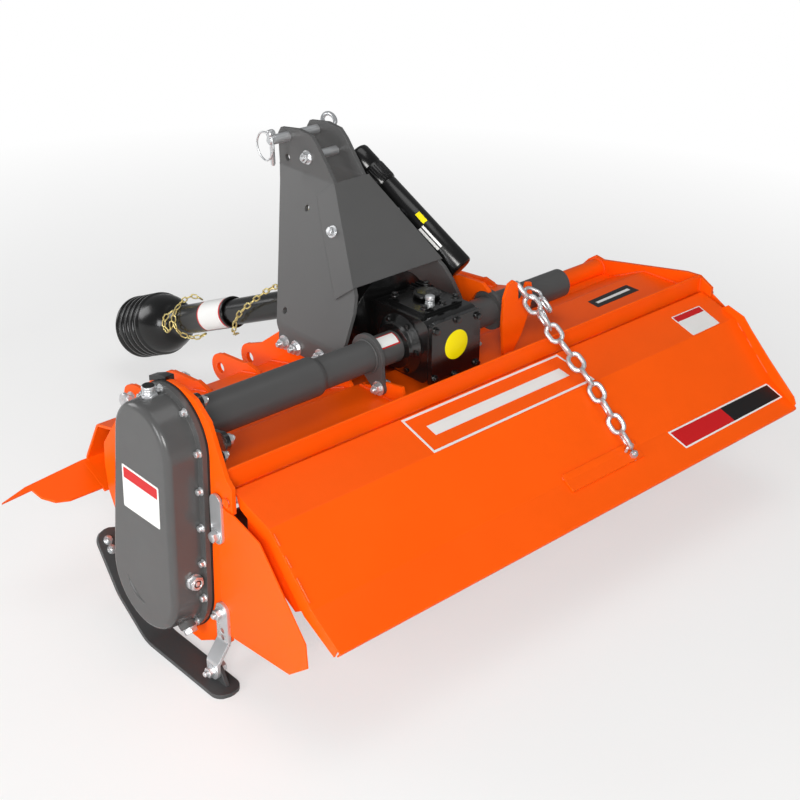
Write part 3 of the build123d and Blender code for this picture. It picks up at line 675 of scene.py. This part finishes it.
ring = [(-159, 472, 766), (-161, 489, 763), (-162, 499, 750), (-162, 501, 735), (-161, 495, 719),
        (-159, 483, 710), (-158, 470, 713), (-157, 459, 729), (-157, 458, 748), (-158, 462, 760)]
sweep(bm, curved(ring, 6), 1.9, 10)
finish("top_pin_fittings", bm, "frame", ("zinc",))

# ---------------------------------------------------------------- lower pins
bm = bmesh.new()
pin_head = ((-7, 14), (-6, 17.4), (0, 17.4), (1.5, 16), (2, 7), (0.6, 4.5), (0.2, 0))
for side in (-1, 1):
    out = X * side
    outer, inner = MAST_X + side * LUG_OUT, MAST_X + side * LUG_IN
    lynch_x = inner - side * 26
    lathe(bm, (outer + side * 22, PIN_Y, PIN_Z), out, pin_head, 40)
    lathe(bm, (lynch_x, PIN_Y, PIN_Z), Z, ((-18, 2.2), (-17, 3), (17, 3), (18, 2.2)), 18)
    ring = ring_points((lynch_x, PIN_Y - 3, PIN_Z - 1), X, 19, 36)
    sweep(bm, ring, 1.6, 9, closed=True)
    for face, way in ((outer + side * HALF_PLATE, 1), (inner - side * HALF_PLATE, -1)):
        lathe(bm, (face, PIN_Y, PIN_Z), out * way, ((0, 16), (2.4, 16), (2.8, 15.4)), 36)
finish("lower_pin_fittings", bm, "frame", ("zinc",))

# ---------------------------------------------------------------- beam, shields, gate ends and skids
BEAM_SHEETS = (     # corners (y, z), left x, right x; the second is lower, to the right of all the lugs
    (((298, 356), (395, 331), (448, 238), (372, 207)), -INNER, 372),
    (((301, 344), (345, 316), (368, 280), (375, 207)), 372, INNER),
)
HALF_SHEET = 2.5

bm = bmesh.new()
for corners, left_x, right_x in BEAM_SHEETS:
    middle = rounded(corners, 9)
    lifts = [normal * HALF_SHEET for normal in sheet_normals(middle)]
    outline = [point + lift for point, lift in zip(middle, lifts)]
    outline += [point - lift for point, lift in zip(middle, lifts)][::-1]
    prism(bm, [(point.y, point.z) for point in outline], left_x, right_x)
prism(bm, ((447, 240.3), (449, 235.7), (373, 204.7), (371, 209.3)), -634, -623)     # meets the deflector
beam_sheet = finish("front_beam_sheet", bm, "frame", ("orange_paint",), bevel=0.8)
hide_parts("front_beam")

SHIELD_SHEETS = (   # hand, left x, upper edge (y, z)
    ("left", -OUTER - 3, ((10, 354), (-14, 347), (-38, 346), (-102, 327), (-214, 192))),
    ("right", OUTER, ((10, 380), (-13, 388), (-28, 373), (-106, 332), (-216, 202))),
)
SHIELD_LOWER_EDGE = ((-218, 147), (-170, 107), (10, 92))
for hand, left_x, upper_edge in SHIELD_SHEETS:
    bm = bmesh.new()
    prism(bm, upper_edge + SHIELD_LOWER_EDGE, left_x, left_x + 3)
    plate = finish(f"{hand}_shield_plate", bm, "frame", ("orange_paint",), bevel=0.6)
    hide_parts("side_shield_" + hand)

bm = bmesh.new()
left_strip = ((-46, 343), (-96, 330), (-152, 262), (-180, 229), (-165, 219), (-128, 240), (-80, 300),
              (-46, 318))
right_strip = ((-66, 356), (-84, 370), (-126, 358), (-148, 335), (-199, 287), (-270, 225), (-276, 212),
               (-272, 200), (-262, 200), (-205, 240), (-166, 280), (-133, 325), (-84, 350))
prism(bm, left_strip, -GATE_END + 1, -GATE_END + 4)
prism(bm, right_strip, GATE_END - 4, GATE_END - 1)
finish("gate_end_plates", bm, "tailgate", ("orange_paint",), bevel=0.6)

SKID_X, SKID_HALF, SKID_CORNER = 662.0, 27.5, 24.0
SKID_LUG = ((-25, 8), (35, 8), (20, 34), (12, 40), (-2, 40), (-10, 34))
SKID_TAB = ((264, 66), (314, 136), (312, 160), (282, 160), (252, 108))
for side, hand in ((-1, "left"), (1, "right")):
    bm = bmesh.new()
    runner = resample(rounded(((-44, 4), (178, 4), (262, 62), (330, 158)), 60, 12), 4)
    length = outline_length(runner) - (runner[-1] - runner[0]).length
    rings, passed = [], 0.0
    for i, (point, normal) in enumerate(zip(runner, sheet_normals(runner))):
        if i:
            passed += (point - runner[i - 1]).length
        inset = SKID_CORNER - min(SKID_CORNER, passed, length - passed)
        half = SKID_HALF - SKID_CORNER + math.sqrt(max(0.0, SKID_CORNER ** 2 - inset ** 2))
        middle = point + X * side * SKID_X
        rings.append([bm.verts.new(middle + X * half * a + normal * 4 * b)
                      for a, b in ((-1, -1), (1, -1), (1, 1), (-1, 1))])
    skin(bm, rings)
    bm.faces.new(rings[0][::-1])
    bm.faces.new(rings[-1])
    prism(bm, SKID_LUG, *sorted((side * 661, side * 653)))
    prism(bm, SKID_TAB, *sorted((side * 641, side * OUTER)))
    plate = finish("skid_runner_" + hand, bm, "frame", ("dark_paint",), crease=40, bevel=0.8)
    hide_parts("skid_" + hand)

bm = bmesh.new()
for side in (-1, 1):
    out = X * side
    bolt(bm, (side * (OUTER + 8), 8, 290), out, 17, 9, washer=13)
    bolt(bm, (side * (OUTER + 9), 9, 134), out, 17, 9, washer=13, stud=5)
    bolt(bm, (side * 667, 5, 28), out, 17, 9, washer=13, stud=6)
    bolt(bm, (side * 653, 5, 28), -out, 17, 9, washer=12)
    for y, z in ((314.5, 143), (304, 128.6)):
        bolt(bm, (side * 669, y, z), (0, -0.817, 0.577), 12, 6, washer=9)
    lathe(bm, (side * 635.5, HINGE_Y, HINGE_Z), out, ((0, 8.5), (1.2, 8.5), (2, 7.5), (2, 0)), 28, 1)
    bolt(bm, (side * 617, HINGE_Y, HINGE_Z), -out, 15, 6)
bolt(bm, (-216, 87, 388), -X, 17, 9, washer=14, stud=5)
bolt(bm, (-202, 87, 388), X, 17, 9, washer=14)
bolt(bm, (79, 130, DECK_TOP), Z, 15, 8, washer=12)
bolt(bm, (636, -20, 372), X, 11, 4, washer=8, index=2)
finish("frame_bolts", bm, "frame", ("zinc", "orange_paint", "black_iron"))

# ---------------------------------------------------------------- tailgate chain
bm = bmesh.new()
chain_route = ((122, 70, 507), (141, -108, 365), (151, -215, 255))
spare_links = ((128, 52, 497), (146, 28, 486), (150, 4, 462))
spring_clip = [(133, 22, 470), (137, 8, 462), (141, -4, 440), (143, -6, 428), (147, -2, 430),
               (146, 8, 444), (145, 14, 458), (139, 22, 470)]
chain(bm, chain_route, 35.2, 16.4, 4.7, turn=-0.83)
chain(bm, spare_links, 30, 13.5, 3.6, turn=0.5)
sweep(bm, curved(spring_clip, 6), 1.9, 10)
chain_piece = finish("chain_links", bm, None, ("zinc",))
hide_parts("tailgate_chain")
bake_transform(chain_piece)

bm = bmesh.new()
bolt(bm, gate_surface(152, -220), (0, -0.54, 0.84), 14, 9, washer=11, stud=4)
eye = [(142, -210, 244), (144, -214, 257), (151, -216, 262), (158, -214, 257), (160, -210, 244)]
sweep(bm, curved(eye, 6), 3, 12)
finish("chain_hook", bm, "tailgate", ("zinc",))

# ---------------------------------------------------------------- drive shaft
shaft_origin = along_shaft(0)
bm = bmesh.new()
profile = [(400, 31), (400, 34.8), (402, 35.6), (407, 35.6), (409, GUARD_R), (636, GUARD_R), (641, 36),
           (646, 41), (652, 48), (662, 54), (676, 61), (690, 66), (704, 69.4), (712, 70.6)]
RIB = ((0, 71.0), (4, 74.6), (12, 74.8), (16, 71.4), (22, 71.6))
for start in (715, 739, 763, 787):
    profile += [(start + along, radius) for along, radius in RIB]
profile += [(812, 73.4), (815, 75.4), (819.4, 75.4), (819.9, 74.6), (819.6, 71.8)]
profile += [(752, 69.4), (700, 65), (664, 50), (650, 40), (640, 31)]    # back along the inside
rings = []
for distance, radius in profile:
    circle = ring_points(shaft_origin + SHAFT_AXIS * distance, SHAFT_AXIS, radius, 96)
    rings.append([bm.verts.new(point) for point in circle])
skin(bm, rings, closed=True)
guard = finish("shaft_bell", bm, "shaft_outer", ("black_plastic",), crease=50)
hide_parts("guard_outer")

bm = bmesh.new()
wrap(bm, shaft_origin, SHAFT_AXIS, GUARD_R, (409, 506), (-60, 118), 0.35, 1)
wrap(bm, shaft_origin, SHAFT_AXIS, GUARD_R, (414, 501), (-57, 115), 0.6, 0)
finish("shaft_label", bm, "shaft_outer", ("white_film", "red_film"))

bm = bmesh.new()
hook = Vector((mast_wall(634, -1) + 6, 383, 634))
guard_route = [(-83, 706, 239), (-100, 693, 250), (-113, 676, 272), (-117, 651, 314), (-112, 602, 361),
               (-107, 552, 403), (-110, 517, 424), (-116, 470, 490), (-122, 430, 560), hook]
chain(bm, curved(guard_route, 8), 19.5, 6.2, 1.6, turn=0.4)
guard_chain = finish("guard_chain", bm, None, ("gold_zinc",))
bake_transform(guard_chain)

NECK_STRANDS = (    # (distance, up, right) from the rear joint
    ((602, 38, -14), (584, 46, -10), (556, 52, -4), (536, 46, 4), (540, 38, 14)),
    ((600, 39, -12), (598, 22, -36), (596, -4, -43), (594, -27, -34), (582, -42, -14), (566, -44, -4),
     (556, -40, 8)),
    ((606, 30, -30), (624, 22, -40), (640, 4, -47), (634, -16, -44), (620, -10, -40), (610, 8, -40)),
)
bm = bmesh.new()
for strand in NECK_STRANDS:
    chain(bm, curved([along_shaft(*place) for place in strand], 6), 17.0, 6.2, 1.6)
finish("neck_chain", bm, "shaft_outer", ("gold_zinc",))

# ---------------------------------------------------------------- blank decals
FILM, OVER_FILM = 0.3, 0.45             # how far a film stands out, and one that lies on it


def gate_patch(bm, places, window, lift, index, corner=0.0):
    """Film on the tailgate between four (x, y) places: rear left, rear right, front right, front left."""
    patch(bm, [gate_surface(x, y) for x, y in places], window, lift, index, corner)


bm = bmesh.new()
places = ((-255, -103), (171, -101), (155, -15), (-254, -15))
for window in ((0, 0, 1, 0.055), (0, 0.945, 1, 1), (0, 0.05, 0.011, 0.95), (0.989, 0.05, 1, 0.95),
               (0.08, 0.36, 0.92, 0.64)):
    gate_patch(bm, places, window, FILM, 0)
places = ((476, -102), (566, -101), (570, -42), (477, -41))
gate_patch(bm, places, (0, 0, 1, 1), FILM, 0, 3)
gate_patch(bm, places, (0.03, 0.72, 0.97, 0.96), OVER_FILM, 1, 1)
places = ((282, -250), (605, -249), (593, -214), (268, -212))
gate_patch(bm, places, (0, 0, 1, 1), FILM, 0, 2)
gate_patch(bm, places, (0.012, 0.08, 0.50, 0.92), OVER_FILM, 1, 1)
gate_patch(bm, places, (0.50, 0.08, 0.988, 0.92), OVER_FILM, 2, 1)
finish("gate_decals", bm, "tailgate", ("white_film", "red_film", "black_film"))

bm = bmesh.new()
corners = [(x, y, DECK_TOP) for x, y in ((398, 88), (535, 90), (536, 127), (404, 122))]
patch(bm, corners, (0, 0, 1, 1), FILM, 1, 2)
patch(bm, corners, (0.1, 0.38, 0.9, 0.62), OVER_FILM, 0)
wrap(bm, (-206, DRIVE_Y, DRIVE_Z), X, DRIVE_R, (2, 50), (92, 146), FILM, 2)
wrap(bm, (-206, DRIVE_Y, DRIVE_Z), X, DRIVE_R, (4.5, 47.5), (97, 141), 0.55, 0)
finish("frame_decals", bm, "frame", ("white_film", "black_film", "red_film"))

# ---------------------------------------------------------------- document tube
tube_foot, tube_head = Vector((82, 179, 514)), Vector((13, 422, 705))
tube_axis = (tube_head - tube_foot).normalized()
tube_long = (tube_head - tube_foot).length
CAN_R, CAP_R = 26.0, 28.0
cap = tube_long - 92
body = [(0, 0), (0.2, 19), (1.4, 23), (4, 25.4), (7, CAN_R), (cap - 3, CAN_R), (cap - 2, 25.2)]
body += [(cap, 25.2), (cap + 0.6, 27.2), (cap + 3, CAP_R), (cap + 40, CAP_R), (cap + 42, 27)]
body += [(cap + 44, 27), (cap + 46, CAP_R), (tube_long - 12, CAP_R), (tube_long - 7, 26.4)]
body += [(tube_long - 4, 22), (tube_long - 2.6, 14), (tube_long - 2.2, 0)]
bm = bmesh.new()
lathe(bm, tube_foot, tube_axis, body, 72)
for spoke in ring_points((0, 0, 0), tube_axis, CAP_R - 0.1, 36):    # grip ribs
    sweep(bm, [tube_foot + tube_axis * (cap + s) + spoke for s in (5, 20, 38)], 0.7, 6)
for share, reach in ((0.35, 32), (0.62, 36)):                       # mounting studs
    middle = tube_foot.lerp(tube_head, share)
    lathe(bm, middle - X * reach, X, ((-1, 6), (reach - 20, 6)), 24)
    bolt(bm, middle - X * 26, -X, 9, 4, washer=8, index=1)
for span, arc, index in (((112, 136), (45, 70), 2), ((55, 110), (12, 24), 3), ((55, 110), (30, 40), 3)):
    wrap(bm, tube_foot, tube_axis, CAN_R, span, arc, FILM, index)
canister = finish("document_canister", bm, "frame", ("black_plastic", "zinc", "yellow_film", "white_film"),
                  crease=40)
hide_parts("document_tube")

# ---------------------------------------------------------------- welds and folded edges
bm = bmesh.new()
for side in (-1, 1):
    for lug in (LUG_OUT, LUG_IN, LUG_MID):
        for x in (MAST_X + side * lug - 5.5, MAST_X + side * lug + 5.5):
            bead(bm, [(x, 346, 346.6), (x, 393, 334.6)], 3)
            bead(bm, [(x, 402, 325.5), (x, 445, 249.5)], 3)
for x in (-227.5, -216.5, 90.5, 101.5):
    bead(bm, [(x, 168, 362), (x, 236, 332.4), (x, 258, 331.5)], 3)
    bead(bm, [(x, 306, 357.4), (x, 393, 334.6)], 3)
    bead(bm, ring_points((x, TUBE_Y, TUBE_Z), X, 22, 24, 10, 170), 3)
on_deck = DECK_TOP + 1.5
for x in (-INNER, INNER):
    bead(bm, ring_points((x, TUBE_Y, TUBE_Z), X, 22, 48), 2.6, closed=True)
    bead(bm, [(x, 8, on_deck), (x, 148, on_deck), (x, 232, 333)], 2.6)
    bead(bm, [(x, -1, 372), (x, -1, 404)], 2.2)
for y in (57, 65):
    bead(bm, [(84, y, on_deck), (106, y, on_deck)], 2.8)
for x in (-209.5, -200.5):
    bead(bm, [(x, 24, on_deck), (x, 146, on_deck)], 2.6)
finish("frame_welds", bm, "frame", ("weld",), crease=60)

bm = bmesh.new()
for x in (-613.5, 613.5):
    for start, end in ((-112, -128), (-140, -156), (-168, -200)):
        bead(bm, [gate_surface(x, start), gate_surface(x, end)], 2)
for x in (-26, 177):
    bead(bm, [gate_surface(x, -201) + Z, gate_surface(x, -207) + Z], 1.8)
finish("gate_welds", bm, "tailgate", ("weld",), crease=60)

bm = bmesh.new()
for x, radius in ((-615, 37), (-346, 33.5), (-217.5, DRIVE_R + 1), (-206.5, DRIVE_R + 1)):
    bead(bm, ring_points((x, DRIVE_Y, DRIVE_Z), X, radius, 60), 2.2, closed=True)
lathe(bm, (-346, DRIVE_Y, DRIVE_Z), X, ((0, 36.4), (4, 36), (10, 32.5), (14, 30.2)), 64)
finish("tube_welds", bm, "frame", ("tube_paint",), crease=60)

bm = bmesh.new()
prism(bm, ((0.4, 353), (3.4, 353), (3.4, 368), (0.4, 368)), -INNER, INNER)
sweep(bm, [(-INNER, 2, 407.4), (0, 2, 407.4), (INNER, 2, 407.4)], 2.7, 16)
finish("deck_edge", bm, "frame", ("orange_paint",))

# ---------------------------------------------------------------- rotor
bm = bmesh.new()
for number, x in enumerate((-560, -336, -112, 112, 336, 560), start=1):
    for quarter in range(4):
        hand = 1 if quarter % 2 else -1
        if number in (1, 6):
            hand = 1 if number == 1 else -1
        angle = math.radians(quarter * 90 + number * 15)
        for along in (-13, 13):
            y = ROTOR_Y + along * math.cos(angle) - 60 * math.sin(angle)
            z = ROTOR_Z + along * math.sin(angle) + 60 * math.cos(angle)
            bolt(bm, (x + hand * 12, y, z), X * hand, 18, 8)
            bolt(bm, (x - hand * 4, y, z), -X * hand, 18, 9, stud=4)
finish("tine_bolts", bm, "rotor", ("steel",))

bm = bmesh.new()
for place in ring_points((641, ROTOR_Y, ROTOR_Z), X, 52, 6, 30, 390):
    bolt(bm, place, X, 15, 8, washer=11)
lathe(bm, (665, ROTOR_Y, ROTOR_Z), X, ((-2, 30), (0, 30), (1, 27), (1.4, 0)), 48, 1)
hexagon(bm, (666, ROTOR_Y, ROTOR_Z), X, 8, 5, 0.2)
finish("bearing_bolts", bm, "frame", ("zinc", "black_iron"))

# ---------------------------------------------------------------- studio
def fade_to_white(mat, near, far, least):
    """The floor that the camera sees turns from shaded to plain white away from the machine."""
    nodes, links = mat.node_tree.nodes, mat.node_tree.links
    spot = nodes.new("ShaderNodeNewGeometry")
    reach = nodes.new("ShaderNodeVectorMath")
    reach.operation = "LENGTH"
    links.new(spot.outputs["Position"], reach.inputs[0])
    share = nodes.new("ShaderNodeMapRange")
    share.inputs["From Min"].default_value = near
    share.inputs["From Max"].default_value = far
    share.inputs["To Min"].default_value = least
    links.new(reach.outputs["Value"], share.inputs["Value"])
    seen = nodes.new("ShaderNodeLightPath")
    factor = nodes.new("ShaderNodeMath")
    factor.operation = "MULTIPLY"
    links.new(share.outputs["Result"], factor.inputs[0])
    links.new(seen.outputs["Is Camera Ray"], factor.inputs[1])
    white = nodes.new("ShaderNodeEmission")
    white.inputs["Color"].default_value = (1.0, 1.0, 1.0, 1.0)
    mix = nodes.new("ShaderNodeMixShader")
    links.new(factor.outputs["Value"], mix.inputs["Fac"])
    links.new(nodes["Principled BSDF"].outputs["BSDF"], mix.inputs[1])
    links.new(white.outputs["Emission"], mix.inputs[2])
    links.new(mix.outputs["Shader"], nodes["Material Output"].inputs["Surface"])


FLOOR_HALF = 30.0
floor_corners = [(a * FLOOR_HALF, b * FLOOR_HALF, 0) for a, b in ((-1, -1), (1, -1), (1, 1), (-1, 1))]
floor_mesh = bpy.data.meshes.new("floor")
floor_mesh.from_pydata(floor_corners, [], [(0, 1, 2, 3)])
floor = bpy.data.objects.new("floor", floor_mesh)
bpy.context.collection.objects.link(floor)
floor_paint = material("floor", "F0F0EF", 0.7, spread=0.01, patch=1.5, grain=60, bump=0.05)
floor_mesh.materials.append(floor_paint)
fade_to_white(floor_paint, near=1.1, far=2.6, least=0.5)

world = bpy.data.worlds.new("studio")
bpy.context.scene.world = world
world.use_nodes = True
sky, sky_links = world.node_tree.nodes, world.node_tree.links
sky["Background"].inputs["Color"].default_value = (0.97, 0.98, 1.0, 1.0)
sky["Background"].inputs["Strength"].default_value = 0.24
backdrop = sky.new("ShaderNodeBackground")
backdrop.inputs["Color"].default_value = (1.0, 1.0, 1.0, 1.0)
seen_directly = sky.new("ShaderNodeLightPath")
either = sky.new("ShaderNodeMixShader")
sky_links.new(seen_directly.outputs["Is Camera Ray"], either.inputs["Fac"])
sky_links.new(sky["Background"].outputs["Background"], either.inputs[1])
sky_links.new(backdrop.outputs["Background"], either.inputs[2])
sky_links.new(either.outputs["Shader"], sky["World Output"].inputs["Surface"])

LAMPS = (   # name, place, size, watts, colour, all aimed at the middle of the machine
    ("key", (-4.0, -4.6, 2.9), 2.4, 300.0, (1.0, 0.99, 0.97)),
    ("side", (-5.4, -0.6, 1.7), 2.0, 120.0, (0.98, 0.99, 1.0)),
    ("top", (0.3, -0.6, 4.4), 2.4, 34.0, (1.0, 1.0, 1.0)),
    ("rim", (-2.4, 4.6, 2.0), 2.4, 70.0, (1.0, 1.0, 1.0)),
)
for name, place, size, power, colour in LAMPS:
    lamp = bpy.data.lights.new(name, "AREA")
    lamp.shape = "SQUARE"
    lamp.size = size
    lamp.energy = power
    lamp.color = colour
    holder = bpy.data.objects.new(name, lamp)
    bpy.context.collection.objects.link(holder)
    holder.location = place
    holder.rotation_mode = "QUATERNION"
    holder.rotation_quaternion = (Vector((0, -0.2, 0.3)) - Vector(place)).to_track_quat("-Z", "Y")

# ---------------------------------------------------------------- camera
CAMERA_PLACE = (-1751.4, -1636.8, 1572.3)
HEADING, LOOK_DOWN, ROLL = (math.radians(angle) for angle in (42.6715, 27.6264, 0.7127))
forward = Vector((math.sin(HEADING) * math.cos(LOOK_DOWN), math.cos(HEADING) * math.cos(LOOK_DOWN),
                  -math.sin(LOOK_DOWN)))
level = Vector((math.cos(HEADING), -math.sin(HEADING), 0))
upward = level.cross(forward)
right = level * math.cos(ROLL) + upward * math.sin(ROLL)
top = upward * math.cos(ROLL) - level * math.sin(ROLL)
lens = bpy.data.cameras.new("camera")
lens.sensor_width = 36.0
lens.lens = 64.03
camera = bpy.data.objects.new("camera", lens)
bpy.context.collection.objects.link(camera)
turn = Matrix((right, top, -forward)).transposed().to_4x4()
camera.matrix_world = Matrix.Translation(TO_ROW @ Vector(CAMERA_PLACE)) @ turn
bpy.context.scene.camera = camera
bpy.context.scene.view_settings.view_transform = "Standard"
